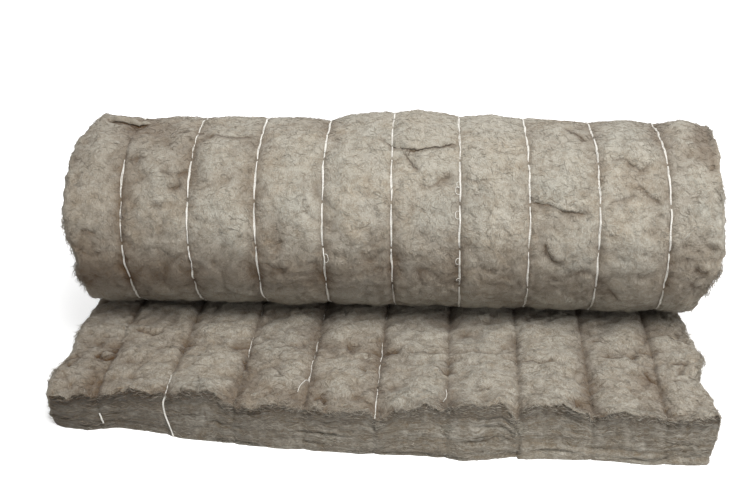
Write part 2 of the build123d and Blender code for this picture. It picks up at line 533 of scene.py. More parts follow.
def stations():
    """Places along the mat for its rings, and what each needs: a fine outer face, inner face and edge."""
    rows = [(-FLAP_LENGTH + s, True, True, True) for s in (0.0, 1.6, 3.6, 6.2, 9.2)]
    for s in np.arange(-FLAP_LENGTH + 13.0, -6.0, FLAP_STEP):
        rows.append((s, False, True, True))
    rows += [(s, False, False, False) for s in (2.0, 10.0, SAG)]
    s = SAG + 6.0
    while s < FRONT_END - 1.0:
        rows.append((s, True, False, False))
        s += LOW_BACK_STEP if s < LOW_BACK_END else BACK_STEP if s < FRONT_START else FRONT_STEP
    while s < INNER_END - 2.0:
        rows.append((s, False, False, False))
        s += INNER_STEP
    rows.append((INNER_END, False, False, False))
    return rows


def build_rings():
    """All the mat's faces, and the points inside its cut end."""
    rows = stations()
    rings = []
    for along, fine_outer, fine_inner, fine_edge in rows:
        outer = FINE_ACROSS if fine_outer else COARSE_ACROSS
        inner = FINE_ACROSS if fine_inner else COARSE_ACROSS
        rings.append(add_ring(along, outer, inner, FINE_DEPTH if fine_edge else COARSE_DEPTH))
    faces = []
    for near, far in zip(rings, rings[1:]):
        for side in range(4):
            faces += zip_lines(near[side], far[side], side in (0, 1))
    cut_faces, cut_points = add_end(rings[0], rows[0][0], FINE_DEPTH, False)
    end_faces, _ = add_end(rings[-1], rows[-1][0], COARSE_DEPTH, True)
    return faces + cut_faces + end_faces, cut_points


faces, cut_points = build_rings()
across, share, along = (np.concatenate(mat_columns[name]) for name in ("across", "share", "along"))
on_cut = np.zeros(len(across))
on_cut[cut_points] = 1.0
thick = thickness(along)
depth = share * thick


def round_corners(across, depth, thick):
    """Rounds the section's four corners, and gives the direction out of it."""
    x = np.abs(across) - (HALF_WIDTH - CORNER)
    low = CORNER - depth
    high = depth - (thick - CORNER)
    z = np.maximum(low, high)
    a, b = np.clip(x / CORNER, 0, 1), np.clip(z / CORNER, 0, 1)
    corner = (a > 0) & (b > 0)
    ra, rb = a * np.sqrt(1 - b * b / 2), b * np.sqrt(1 - a * a / 2)
    side = np.sign(across)
    up = np.where(high > low, 1.0, -1.0)
    new_across = np.where(corner, side * (HALF_WIDTH - CORNER + ra * CORNER), across)
    flat = np.where(up > 0, thick - CORNER + rb * CORNER, CORNER - rb * CORNER)
    new_depth = np.where(corner, flat, depth)
    size = np.maximum(np.hypot(ra, rb), 1e-6)
    out_across = np.where(corner, side * ra / size, np.where(a >= 1, side, 0.0))
    out_depth = np.where(corner, up * rb / size, np.where(b >= 1, up, 0.0))
    return new_across, new_depth, out_across, out_depth


section_across, section_depth, out_across, out_depth = round_corners(across, depth, thick)
mat_places = stacked(section_across, along, section_depth)


def seen_outer(along):
    """1 where the outer face shows round the roll, falling to 0 where it goes under the roll."""
    return smooth(along, SAG + 8, SAG + 60) * fall(along, FRONT_END - 50, FRONT_END - 4)


def image_place(points):
    """The column and row of the photograph that points in millimetres show at."""
    seen = points - CAMERA_PLACE
    far = seen @ AHEAD
    column = IMAGE_SIZE[0] / 2 + FOCAL_PIXELS * (seen @ RIGHT) / far
    return column, IMAGE_SIZE[1] / 2 - FOCAL_PIXELS * (seen @ UP) / far


def drop_of(outline, along, slope, depth):
    """How much lower an outline shows than the plain mat's edge, in pixels, at each of its columns. Along is where
    that edge is in the middle, and slope how much further back it is for each millimetre to the right."""
    across = np.linspace(-HALF_WIDTH - 40, HALF_WIDTH + 40, 28)
    columns, rows = image_place(to_space(across, along - slope * across, depth))
    return [(column, row - np.interp(column, columns, rows)) for column, row in outline]


def stand_of(outline, finder):
    """How far a side edge stands out of the plain mat's, at each of its outline's places along the mat."""
    return sorted((place, abs(side) - HALF_WIDTH) for side, place in map(finder, outline))


# Where along the mat the camera sees the roll's top edge, how far from there its outline is followed, and how far the
# wool is more even
SILHOUETTE = 428.5
OUTLINE_REACH = 110.0
EVEN_REACH = 55.0
TOP_DROP = drop_of(TOP_OUTLINE, SILHOUETTE, 0.0, 0.0)
CUT_TOP_DROP = drop_of(CUT_TOP_OUTLINE, -FLAP_LENGTH, CUT_SLOPE, SWOLLEN)
CUT_FOOT_DROP = drop_of(CUT_FOOT_OUTLINE, -FLAP_LENGTH - CUT_LEAN, CUT_SLOPE, 0.0)
ROLL_STAND = [stand_of(outline, on_roll) for outline in (ROLL_LEFT_OUTLINE, ROLL_RIGHT_OUTLINE)]
FLAP_STAND = [stand_of(outline, on_flap) for outline in (FLAP_LEFT_OUTLINE, FLAP_RIGHT_OUTLINE)]
PIXELS_PER_MM = 0.66
# How far the stitching pulls each face in, and the wool's broad and lumpy unevenness on each
ROLL_PINCH, FLAP_PINCH = 4.6, 6.5
ROLL_UNEVENNESS, FLAP_UNEVENNESS = (2.6, 3.0), (3.4, 4.7)
# How far back from the cut its top outline bends the flap's face
CUT_REACH = 26.0
# Where along the mat the roll's side edges start and stop following the photograph's outline
ROLL_EDGE_START, ROLL_EDGE_END = (290.0, 370.0), (900.0, 960.0)


def cut_drop(across, level, drop):
    """How much lower the cut end's edge at that level shows than the plain mat's, in pixels."""
    column, _ = image_place(to_space(across, -FLAP_LENGTH, level))
    return np.interp(column, *zip(*drop))


def edge_stand(across, along, stands):
    """How far the left or right edge stands out at a place along the mat."""
    return np.where(across < 0, *(np.interp(along, *zip(*stand)) for stand in stands))


def outer_standing(across, along):
    """How far the outer face stands out of the nominal one."""
    at_top = bell(along - SILHOUETTE, EVEN_REACH)
    shape = wool_relief(stacked(across, along, 0.0), *ROLL_UNEVENNESS, 11) * (1 - 0.5 * at_top)
    shape += relief(across, along, "outer")
    column, _ = image_place(to_space(across, along, 0.0))
    shape -= np.interp(column, *zip(*TOP_DROP)) / PIXELS_PER_MM * bell(along - SILHOUETTE - 12.0, OUTLINE_REACH)
    # The seams are shallower along the top edge and at the base of the roll's front
    at_base = smooth(along, FRONT_END - 180, FRONT_END - 90)
    pull = pinch(across, along, ROLL_PINCH) * (1 - 0.6 * at_top) * (1 - 0.5 * at_base)
    return shape * seen_outer(along) - pull * smooth(along, -30.0, SAG + 30)


def inner_standing(across, along):
    """How far the flap's top stands out of the nominal one, with a ragged lip at the cut."""
    from_cut = along + FLAP_LENGTH
    shape = wool_relief(stacked(across, along, SWOLLEN), *FLAP_UNEVENNESS, 31) + relief(across, along, "inner")
    at = stacked(across, along * 0.3, 0.0)
    shape += noise(at, 34.0, 45) * 4.0 * np.exp(-from_cut / 16.0)
    shape += octaves(at, (12.0, 46, 3.0), (6.0, 47, 2.2)) * np.exp(-from_cut / 6.0)
    shape -= cut_drop(across, SWOLLEN, CUT_TOP_DROP) * bell(from_cut, CUT_REACH)
    return shape * fall(along, -70.0, -8.0) - pinch(across, along, FLAP_PINCH) * fall(along, -30.0, 20.0)


def edge_standing(across, along, depth, share):
    """How far the mat's side edges stand out: ragged, layered and following the photograph's outline."""
    places = stacked(np.sign(across) * HALF_WIDTH, along, depth)
    shape = octaves(places, (60.0, 51, 4.0), ((20.0, 20.0, 13.0), 52, 3.0), ((9.0, 9.0, 4.5), 53, 2.2))
    shape *= 1 - 0.5 * (across > 0) * fall(along, -FLAP_LENGTH, 40 - FLAP_LENGTH)
    on_roll_edge = smooth(along, *ROLL_EDGE_START) * fall(along, *ROLL_EDGE_END)
    shape += edge_stand(across, along, ROLL_STAND) * on_roll_edge
    on_flap_edge = fall(along, 0.0, 80.0) * (0.45 + 0.55 * share)
    shape += (edge_stand(across, along, FLAP_STAND) + 4.0) * on_flap_edge
    # Near the cut, the right edge slants in towards the floor
    shape -= 16.0 * (across > 0) * (1 - share) * fall(along, -FLAP_LENGTH, -200.0)
    return shape - 1.5


share_of_depth = np.clip(section_depth / thick, 0, 1)
on_outer = np.clip(-out_depth, 0, 1)
on_inner = np.clip(out_depth, 0, 1)
on_edge = np.abs(out_across)
outwards = outer_standing(section_across, along) * on_outer
outwards += inner_standing(section_across, along) * on_inner * fall(along, 0.0, 20.0)
outwards = np.where(on_cut > 0, 0.0, outwards)


def cut_follow():
    """Moves the cut end's inner points with the faces above and below them."""
    ring = (along == along.min()) & (on_cut == 0)
    top = ring & (share == 1.0)
    order = np.argsort(across[top])
    lift = np.interp(across, across[top][order], (outwards * out_depth)[top][order])
    return np.where(on_cut > 0, lift * share ** 1.5, 0.0)


moved_depth = section_depth + outwards * out_depth + cut_follow()

# The faces and the cut end follow the side edges, more the nearer they are to them
near_edge = np.maximum(on_edge, np.clip((np.abs(section_across) - 400.0) / 100.0, 0, 1) ** 2)
edge_push = edge_standing(section_across, along, section_depth, share_of_depth) * near_edge
moved_across = section_across + np.sign(section_across) * edge_push


def cut_shift(across, along, share):
    """How far the leaning, sloping cut moves a point along the mat."""
    near = fall(along, -FLAP_LENGTH, 70.0 - FLAP_LENGTH)
    lean = -CUT_LEAN * (1 - share) * near
    top = cut_drop(across, SWOLLEN, CUT_TOP_DROP) * -1.2 * share
    foot = cut_drop(across, 0.0, CUT_FOOT_DROP) * -2.0 * (1 - share)
    return lean + (top + foot) * near ** 2 - CUT_SLOPE * across * np.clip(-along / FLAP_LENGTH, 0, 1)


def ledge_height(across):
    """How high the paler lower slab stands at the right of the cut end."""
    return np.interp(across, (203.0, 212.0, 480.0), (-20.0, 21.0, 7.0))


def cut_relief(across, depth):
    """How far the ragged, layered cut end stands out."""
    places = stacked(across, 0.0, depth)
    total = octaves(places, ((75.0, 1.0, 4.4), 61, 0.9), ((150.0, 1.0, 9.0), 62, 1.2))
    total += octaves(places, ((60.0, 1.0, 40.0), 63, 2.0), ((14.0, 1.0, 7.0), 64, 1.2))
    gaps = noise(places, (110.0, 1.0, 5.0), 65)
    total -= np.clip(gaps - 0.42, 0, None) * 16.0
    total += 5.5 * smooth(ledge_height(across) - depth, -1.0, 2.0)
    ragged = octaves(places, ((9.0, 1.0, 30.0), 66, 2.6), ((22.0, 1.0, 40.0), 67, 3.0))
    total += ragged * smooth(depth, SWOLLEN * 0.75, SWOLLEN)
    return total - 3.0 * np.exp(-seam_distance(across) / 9.0)


# The cut leans, slopes across the flap, and is ragged in layers
near_cut = np.exp(-(along + FLAP_LENGTH) / 14.0) * (along < 0)
moved_along = along + cut_shift(across, along, share_of_depth) - cut_relief(across, section_depth) * near_cut
mat_points = to_space(moved_across, moved_along, moved_depth)
mat_points[:, 2] = np.maximum(mat_points[:, 2], 0.0)


def add_object(name, data):
    """An object in the scene."""
    thing = bpy.data.objects.new(name, data)
    bpy.context.scene.collection.objects.link(thing)
    return thing


def make_mesh(name, points, faces):
    """A smooth-shaded mesh object from points in millimetres."""
    faces = faces.tolist() if isinstance(faces, np.ndarray) else [list(map(int, face)) for face in faces]
    mesh = bpy.data.meshes.new(name)
    mesh.from_pydata((points * MM).tolist(), [], faces)
    mesh.validate()
    mesh.shade_smooth()
    return add_object(name, mesh)


def store(piece, name, values):
    """Keeps a number or vector for each point, for the materials to read."""
    values = np.asarray(values, np.float32)
    kind = "FLOAT" if values.ndim == 1 else "FLOAT_VECTOR"
    field = piece.data.attributes.new(name, kind, "POINT")
    field.data.foreach_set("value" if values.ndim == 1 else "vector", values.ravel())


mat = make_mesh("wool_mat_quilted", mat_points, faces)
store(mat, "mat_place", mat_places * MM)
from_shown_face = np.where(along < 0, 1 - share_of_depth, share_of_depth)
cut_weight = np.clip(np.maximum(on_cut, on_edge ** 2 * smooth(from_shown_face, 0.15, 0.7)), 0, 1)
cut_weight -= 0.45 * on_cut * smooth(ledge_height(section_across) - section_depth, -1.0, 3.0)
store(mat, "cut", cut_weight)


# How much darker the wool is, from 0 to 1. Painted shade: low on the roll's front, where it is partly the wool's own
# browner tone, and more so at the left, at the left end, on the cut below its top edge and towards its left, in
# creases, and wherever the face lies low. The flap is a little darker all over.
LOW_SHADE = 0.275
LOW_LEFT_SHADE = 0.36
FLAP_SHADE = 0.11
LEFT_SHADE = 0.23
CUT_TOP_SHADE = 0.46
CUT_LEFT_SHADE = 0.24
CREASE_SHADE = 0.4
SUNKEN_SHADE = 0.55
SUNKEN_DEPTH = 9.0


def broad_shade(across, along):
    """How much darker the wool of the shown faces is, from its left end to its right and down the roll's front: painted
    shade, which down the front is partly the wool's own browner tone.
    """
    low = smooth(along, FRONT_START + 130, FRONT_END - 140) * (along < FRONT_END + 30)
    low *= (LOW_SHADE + LOW_LEFT_SHADE * fall(across, -450.0, 450.0)) * (1 - 0.8 * smooth(along, 710.0, 780.0))
    return low + FLAP_SHADE * (along < 0) + LEFT_SHADE * fall(across, -500.0, -240.0)


def shade_of_mat():
    """How much darker each of the mat's points is, from 0 to 1, mostly as painted shade."""
    shown = np.maximum(on_outer * seen_outer(along), on_inner * (along < 0))
    sag = cut_drop(section_across, SWOLLEN, CUT_TOP_DROP) * bell(along + FLAP_LENGTH, CUT_REACH)
    sunken = np.clip(-(outwards + sag * on_inner * (along < 0)) / SUNKEN_DEPTH, 0, 1) * shown
    creased = painted_crease_shade(section_across, along, "outer") * on_outer * (along > 0)
    creased += painted_crease_shade(section_across, along, "inner") * on_inner * (along < 0)
    broad = broad_shade(across, along) * np.where(along < 0, np.maximum(on_inner, on_cut), on_outer)
    under_lip = CUT_TOP_SHADE * on_cut * smooth(share_of_depth, 0.55, 0.95)
    on_end = on_cut * (CUT_LEFT_SHADE * fall(across, -420.0, 300.0))
    return np.clip(SUNKEN_SHADE * sunken + CREASE_SHADE * creased + broad + under_lip + on_end, 0, 1)


store(mat, "shade", shade_of_mat())


def crease_lines():
    """Each point's signed distance in millimetres from the nearest crease of its face, and how strong that is."""
    roll = nearest_crease(section_across, along, "outer")
    flap = nearest_crease(section_across, along, "inner")
    distance = np.where(along < 0, flap[0], roll[0])
    strength = np.where(along < 0, flap[1] * on_inner, roll[1] * on_outer)
    return stacked(distance, strength, 0.0)


store(mat, "crease", crease_lines())

# Materials


class Nodes:
    """A short way to write a material's nodes."""

    def __init__(self, owner):
        self.owner = owner
        owner.use_nodes = True
        self.tree = owner.node_tree
        self.tree.nodes.clear()

    def add(self, kind, inputs=None, **settings):
        node = self.tree.nodes.new("ShaderNode" + kind)
        for key, value in settings.items():
            setattr(node, key, value)
        for key, value in (inputs or {}).items():
            if isinstance(value, bpy.types.NodeSocket):
                self.tree.links.new(value, node.inputs[key])
            else:
                node.inputs[key].default_value = value
        return node

    def finish(self, output, shader):
        """Links a shader to the output, and returns the material or world."""
        self.tree.links.new(shader.outputs[0], self.add(output).inputs["Surface"])
        return self.owner

    def stored(self, name, output="Fac"):
        return self.add("Attribute", attribute_name=name).outputs[output]

    def noise(self, vector, scale, detail=2.0, roughness=0.5, distortion=0.0):
        inputs = {"Vector": vector, "Scale": scale, "Detail": detail, "Roughness": roughness, "Distortion": distortion}
        return self.add("TexNoise", inputs).outputs["Fac"]

    def scaled(self, vector, scale):
        return self.add("VectorMath", {0: vector, 1: scale}, operation="MULTIPLY").outputs["Vector"]

    def math(self, operation, a, b=0.0, c=0.0):
        return self.add("Math", {0: a, 1: b, 2: c}, operation=operation).outputs["Value"]

    def times(self, a, b):
        return self.math("MULTIPLY", a, b)

    def plus(self, a, b):
        return self.math("ADD", a, b)

    def minus(self, a, b):
        return self.math("SUBTRACT", a, b)

    def ramp(self, value, low, high, to_low=0.0, to_high=1.0):
        inputs = {"Value": value, "From Min": low, "From Max": high, "To Min": to_low, "To Max": to_high}
        return self.add("MapRange", inputs).outputs["Result"]

    def mix(self, factor, a, b):
        """A mix of two colours. The numbers are those of the node's colour sockets."""
        return self.add("Mix", {0: factor, 6: a, 7: b}, data_type="RGBA").outputs[2]


def colour(red, green, blue):
    """An sRGB colour, from 0 to 255, as Blender's linear one."""
    parts = [c / 255 for c in (red, green, blue)]
    return (*[p / 12.92 if p <= 0.04045 else ((p + 0.055) / 1.055) ** 2.4 for p in parts], 1.0)


WOOL_LIGHT = colour(193, 188, 176)
WOOL_MID = colour(174, 168, 155)
WOOL_BROWN = colour(165, 150, 128)
WOOL_GREY = colour(166, 165, 155)
WOOL_DARK = colour(115, 99, 76)
CUT_COLOUR = colour(107, 100, 88)
FIBRE_LIGHT = colour(201, 194, 180)
# Painted shade: the colours that the wool and the cut end darken towards, and that of the creases' dark slits
WOOL_SHADE = colour(84, 60, 32)
CUT_SHADE = colour(64, 57, 49)
CREASE_SHADE_COLOUR = colour(72, 57, 40)


def felt(n, place, warped, cut):
    """The fibres' light and dark. They run across the mat in some patches and along it in others, and lie in flat
    layers where it is cut. Noise scales are features in each metre of the mat."""
    across_fibres = n.noise(n.scaled(warped, (1.0, 3.4, 3.4)), 260.0, 3.0, 0.6)
    along_fibres = n.noise(n.scaled(warped, (3.4, 1.0, 3.4)), 250.0, 3.0, 0.6)
    which = n.ramp(n.noise(place, 34.0, 1.0), 0.42, 0.58)
    felted = n.plus(n.times(across_fibres, which), n.times(along_fibres, n.minus(1.0, which)))
    layers = n.noise(n.scaled(warped, (0.14, 0.14, 2.6)), 190.0, 4.0, 0.7)
    return n.plus(n.times(felted, n.minus(1.0, cut)), n.times(layers, cut))


def wrinkles(n, place, warped, cut, on_flap_part):
    """Fine wrinkles, in patches on the faces: painted shade in their folds, and grooves in the bumps."""
    swirl = n.noise(n.scaled(warped, (1.0, 1.5, 1.0)), 30.0, 3.0, 0.6, 0.4)
    ridge = n.math("ABSOLUTE", n.minus(swirl, 0.5))
    where = n.ramp(n.noise(place, 17.0, 2.0), 0.48, 0.62)
    wrinkle = n.times(n.ramp(ridge, 0.022, 0.0), where)
    wrinkle = n.times(wrinkle, n.ramp(on_flap_part, 0.0, 1.0, 0.3, 0.5))
    return n.times(wrinkle, n.minus(1.0, cut))


def crease_marks(n, place):
    """The creases as jagged lines, by their distance in millimetres: painted shade in their slits, and grooves in the
    bumps.
    """
    crease = n.add("SeparateXYZ", {"Vector": n.stored("crease", "Vector")}).outputs
    jagged = n.math("MULTIPLY_ADD", n.noise(place, 260.0, 3.0, 0.7), 5.0, -0.5)
    off_line = n.math("ABSOLUTE", n.plus(crease["X"], jagged))
    return n.times(n.ramp(off_line, 2.4, 0.3), crease["Y"])


def wool_material():
    """Felted stone wool: fine fibres in all directions on the faces, and flat layers where it is cut."""
    n = Nodes(bpy.data.materials.new("stone_wool"))
    place = n.stored("mat_place", "Vector")
    cut = n.stored("cut")
    warp = n.add("TexNoise", {"Vector": place, "Scale": 60.0, "Detail": 2.0}).outputs["Color"]
    shift = n.scaled(warp, (0.012, 0.012, 0.012))
    warped = n.add("VectorMath", {0: place, 1: shift}, operation="ADD").outputs["Vector"]
    felted = felt(n, place, warped, cut)
    grain = n.noise(place, 520.0, 3.0, 0.65)
    along_mat = n.add("SeparateXYZ", {"Vector": place}).outputs["Y"]
    on_flap_part = n.ramp(along_mat, 0.02, -0.02)
    coarse = n.ramp(on_flap_part, 0.0, 1.0, 0.55, 0.9)
    # Broad blotches and patches of colour, the fibres' light and dark, and finer mottling
    blotch = n.noise(place, 9.0, 4.0, 0.6)
    patch = n.noise(n.scaled(place, (1.0, 1.4, 1.0)), 22.0, 3.0, 0.6)
    tone = n.mix(n.ramp(blotch, 0.38, 0.62), WOOL_BROWN, WOOL_GREY)
    tone = n.mix(n.ramp(patch, 0.35, 0.7, 0.0, 0.75), WOOL_MID, tone)
    tone = n.mix(n.times(cut, 0.85), tone, CUT_COLOUR)
    tone = n.mix(n.times(n.ramp(felted, 0.53, 0.34, 0.0, 0.7), coarse), tone, WOOL_DARK)
    lit = n.times(n.ramp(felted, 0.5, 0.66, 0.0, 0.75), n.ramp(cut, 0.0, 1.0, 1.0, 0.7))
    tone = n.mix(n.times(lit, coarse), tone, WOOL_LIGHT)
    mottle = n.noise(n.scaled(warped, (1.0, 1.3, 1.0)), 75.0, 4.0, 0.7)
    mottled = n.times(n.ramp(mottle, 0.5, 0.3), n.ramp(on_flap_part, 0.0, 1.0, 0.44, 0.56))
    tone = n.mix(mottled, tone, WOOL_DARK)
    tone = n.mix(n.ramp(mottle, 0.5, 0.7, 0.0, 0.42), tone, WOOL_LIGHT)
    # Wrinkles, with painted shade in their folds, the finest grain, creases, with painted shade in their slits, and the
    # painted shade that each point of the mesh has
    wrinkle = wrinkles(n, place, warped, cut, on_flap_part)
    tone = n.mix(n.times(wrinkle, 0.6), tone, WOOL_DARK)
    tone = n.mix(n.times(n.ramp(grain, 0.52, 0.72, 0.0, 0.3), coarse), tone, FIBRE_LIGHT)
    tone = n.mix(n.times(n.ramp(grain, 0.46, 0.3, 0.0, 0.24), coarse), tone, WOOL_DARK)
    line = crease_marks(n, place)
    tone = n.mix(n.times(line, 0.75), tone, CREASE_SHADE_COLOUR)
    tone = n.mix(n.stored("shade"), tone, n.mix(cut, WOOL_SHADE, CUT_SHADE))
    # The bumps, which the same fibres, wrinkles and creases make
    height = n.plus(felted, n.times(grain, 0.5))
    height = n.plus(height, n.times(n.noise(place, 120.0, 3.0, 0.6), 1.2))
    height = n.minus(height, n.times(wrinkle, 0.9))
    height = n.minus(height, n.times(line, 1.2))
    bump = n.add("Bump", {"Height": height, "Strength": 0.65, "Distance": 0.004}).outputs["Normal"]
    return n.finish("OutputMaterial", n.add("BsdfPrincipled", {
        "Base Color": tone, "Normal": bump, "Roughness": 0.95, "Specular IOR Level": 0.15,
        "Sheen Weight": 0.12, "Sheen Roughness": 0.6,
    }))


def thread_material():
    """White glass thread: many fine bright strands."""
    n = Nodes(bpy.data.materials.new("glass_thread"))
    place = n.add("TexCoord").outputs["Object"]
    strands = n.noise(place, 900.0, 2.0, 0.6)
    tone = n.mix(n.ramp(strands, 0.35, 0.65), colour(205, 200, 190), colour(238, 236, 230))
    bump = n.add("Bump", {"Height": strands, "Strength": 0.5, "Distance": 0.0006}).outputs["Normal"]
    return n.finish("OutputMaterial", n.add("BsdfPrincipled", {"Base Color": tone, "Normal": bump, "Roughness": 0.55}))


wool = wool_material()
thread = thread_material()
mat.data.materials.append(wool)
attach(mat, "root")
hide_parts("wool_mat")

# The stitching threads: flat bundles of glass strands that lie in the seams and dive at the needle holes

STRANDS = 4
STRAND_RADIUS = 0.62
TUBE_SIDES = 6
TUBE_END = 0.35
BUNDLE_WIDTH = 0.95
BUNDLE_HEIGHT = 0.45
DIVE = 4.5
FLAP_DIVE = 6.0
# How deep a stitch on the flap is buried unless it is named below
BURIED_ON_FLAP = 4.2
# How far back from the cut a seam's thread on the flap starts, and how far the first seam's does
FLAP_THREAD_START = 2.5
FIRST_THREAD_START = 14.0
# The distance between the places that a thread's line is made of, where it shows
THREAD_STEP = 2.4
LOOP_RADIUS = 0.42
WISP_RADIUS = 0.55
# How far some stitches are buried, by seam and by stitch counted down the roll's front from its top
BURIED_ON_ROLL = {(0, -2): 5.0, (0, -1): 5.0, (0, 0): 0.6, (0, 1): 1.3, (0, 2): 0.3, (1, -1): 1.5, (1, -2): 1.5}
# The same for the stitches that show on the flap, by seam and by stitch counted back from the cut
SEEN_ON_FLAP = {
    (1, 0): 0.2, (2, 2): 0.9, (3, 1): 0.7, (3, 2): 0.6, (3, 4): 1.0, (4, 1): 0.2, (4, 2): 0.4, (4, 0): 0.5, (4, 4): 0.6,
    (2, 4): 1.0,
}


def tube_faces(count, sides):
    """Faces of a closed tube whose points are that many rings with that many sides."""
    found = []
    for i in range(count - 1):
        for j in range(sides):
            k = (j + 1) % sides
            found.append((i * sides + j, i * sides + k, (i + 1) * sides + k, (i + 1) * sides + j))
    return [*found, tuple(range(sides))[::-1], tuple((count - 1) * sides + j for j in range(sides))]


def join(parts):
    """Points and faces of several parts as one."""
    starts = np.cumsum([0] + [len(points) for points, _ in parts])
    found = [tuple(i + start for i in face) for (_, faces), start in zip(parts, starts) for face in faces]
    return np.concatenate([points for points, _ in parts]), found


def tube(line, radius):
    """Points and faces of a tube along a line of points, closed at both ends."""
    ahead = np.gradient(line, axis=0)
    ahead /= np.linalg.norm(ahead, axis=1)[:, None]
    side = np.cross(ahead, np.array([1.0, 0.0, 0.0]) + 1e-3)
    side /= np.linalg.norm(side, axis=1)[:, None]
    over = np.cross(ahead, side)
    turns = np.arange(TUBE_SIDES) * 2 * np.pi / TUBE_SIDES
    ends = np.ones(len(line))
    ends[0] = ends[-1] = TUBE_END
    spread = np.asarray(radius) * ends
    ring = side[:, None] * np.cos(turns)[None, :, None] + over[:, None] * np.sin(turns)[None, :, None]
    points = (line[:, None] + ring * spread[:, None, None]).reshape(-1, 3)
    return points, tube_faces(len(line), TUBE_SIDES)


def bundle(line, up, seed, size=1.0, swell=1.0):
    """Points and faces of a bundle of strands round a line, flat against the wool. Up is away from the wool, and
    swell is how much thicker the bundle is along the line."""
    rng = np.random.default_rng(seed)
    length = np.concatenate([[0], np.cumsum(np.linalg.norm(np.diff(line, axis=0), axis=1))])
    side = np.cross(np.gradient(line, axis=0), up)
    side /= np.linalg.norm(side, axis=1)[:, None]
    flat, tall = BUNDLE_WIDTH * size * swell, BUNDLE_HEIGHT * size
    strands = []
    for strand in range(STRANDS):
        phase = 2 * np.pi * (strand + rng.uniform(-0.2, 0.2)) / STRANDS
        turn = phase + length / rng.uniform(17.0, 23.0)
        path = line + side * (np.cos(turn) * flat)[:, None] + up * (np.sin(turn) * tall)[:, None]
        strands.append(tube(path, STRAND_RADIUS * size * swell))
    return join(strands)


def soften(values, times):
    """Smooths a line's inner values that many times, in place."""
    for _ in range(times):
        values[1:-1] = (values[:-2] + values[1:-1] * 2 + values[2:]) / 4


def roll_thread(index):
    """A seam's thread in the outer face, from the cut end under the flap, and up and round the roll."""
    seam = SEAMS[index]
    rng = np.random.default_rng(700 + index)
    under = np.arange(-FLAP_LENGTH + 4, SAG, 12.0)
    shown = FRONT_START - 60
    behind = np.arange(SAG, shown, 2 * THREAD_STEP)
    places = np.concatenate([under, behind, np.arange(shown, FRONT_END - 6, THREAD_STEP)])
    across_line = seam + noise(stacked(places, 0.0, index * 50.0), 31.0, 91) * 1.6
    stitches = np.floor((places - FIRST_PUNCTURE) / STITCH).astype(int)
    loose = {k: rng.uniform(-0.3, 0.5) for k in range(stitches.min(), stitches.max() + 1)}
    buried = np.array([BURIED_ON_ROLL.get((index, k), loose[k]) for k in stitches])
    stand = outer_standing(np.full(len(places), seam), places) * smooth(places, SAG - 4, SAG + 20)
    height = 1.4 - buried - DIVE * bell(puncture_distance(places), 1.8)
    depth = np.where(places < SAG, 2.6, -(stand + height))
    shifted = places + cut_shift(across_line, places, 0.0)
    line = to_space(across_line, shifted, depth)
    swell = 0.74 + 0.36 * smooth(puncture_distance(places), 2.0, 22.0)
    return line, to_space(across_line, shifted, depth - 1.0) - line, swell


def flap_thread(index):
    """A seam's thread in the flap's top, mostly sunk in the wool."""
    seam = SEAMS[index]
    start = FIRST_THREAD_START if index == 0 else FLAP_THREAD_START
    places = np.arange(-FLAP_LENGTH + start, -4.0, THREAD_STEP)
    across_line = seam + noise(stacked(places, 0.0, index * 50.0), 26.0, 92) * 2.4
    counted = (places + FLAP_LENGTH) / STITCH
    buried = np.array([SEEN_ON_FLAP.get((index, k), BURIED_ON_FLAP) for k in np.floor(counted).astype(int)])
    stand = inner_standing(np.full(len(places), seam), places)
    off = np.abs(counted - np.round(counted)) * STITCH
    height = 1.3 - buried - FLAP_DIVE * bell(off, 3.0)
    depth = thickness(places) + stand + height
    line = to_space(across_line, places + cut_shift(across_line, places, 1.0), depth)
    return line, np.tile([0.0, 0.0, 1.0], (len(line), 1))


def cut_tail(index, spots):
    """The end of a seam's thread, which hangs down the cut end. Spots are a share of the mat's depth and a place
    to the side of the seam, in millimetres."""
    part = np.linspace(0, 1, 40)
    knots = np.linspace(0, 1, len(spots))
    deep = np.interp(part, knots, [d for d, _ in spots]) * SWOLLEN
    across_line = SEAMS[index] + np.interp(part, knots, [x for _, x in spots])
    soften(deep, 20)
    soften(across_line, 20)
    end = np.full(len(part), -FLAP_LENGTH)
    out = cut_shift(across_line, end, deep / SWOLLEN) - cut_relief(across_line, deep)
    soften(out, 60)
    lift = inner_standing(across_line, end) * (deep / SWOLLEN) ** 1.5
    line = to_space(across_line, end + out - 1.6, deep + lift)
    return line, np.tile([0.0, -1.0, 0.0], (len(line), 1))


def flap_wisp(pixels):
    """A loose end of thread on the flap's top, through places given by pixel."""
    places = np.array([on_flap(p) for p in pixels])
    part, knots = np.linspace(0, 1, 30), np.linspace(0, 1, len(places))
    across_line, along_line = (np.interp(part, knots, places[:, k]) for k in (0, 1))
    depth = thickness(along_line) + inner_standing(across_line, along_line) + 1.0
    return to_space(across_line, along_line + cut_shift(across_line, along_line, 1.0), depth)


def roll_loop(index, pixel, size):
    """A slack loop of thread beside a seam on the roll's front, to its right if the size is negative."""
    _, middle = on_roll(pixel)
    turn = np.linspace(0, 1, 26)
    along_line = middle + (turn - 0.5) * abs(size) * 1.2 - np.sin(2 * np.pi * turn) * abs(size) * 0.35
    across_line = SEAMS[index] - np.sin(np.pi * turn) * size
    depth = -(outer_standing(across_line, along_line) + 0.6 + np.sin(np.pi * turn))
    return to_space(across_line, along_line, depth)


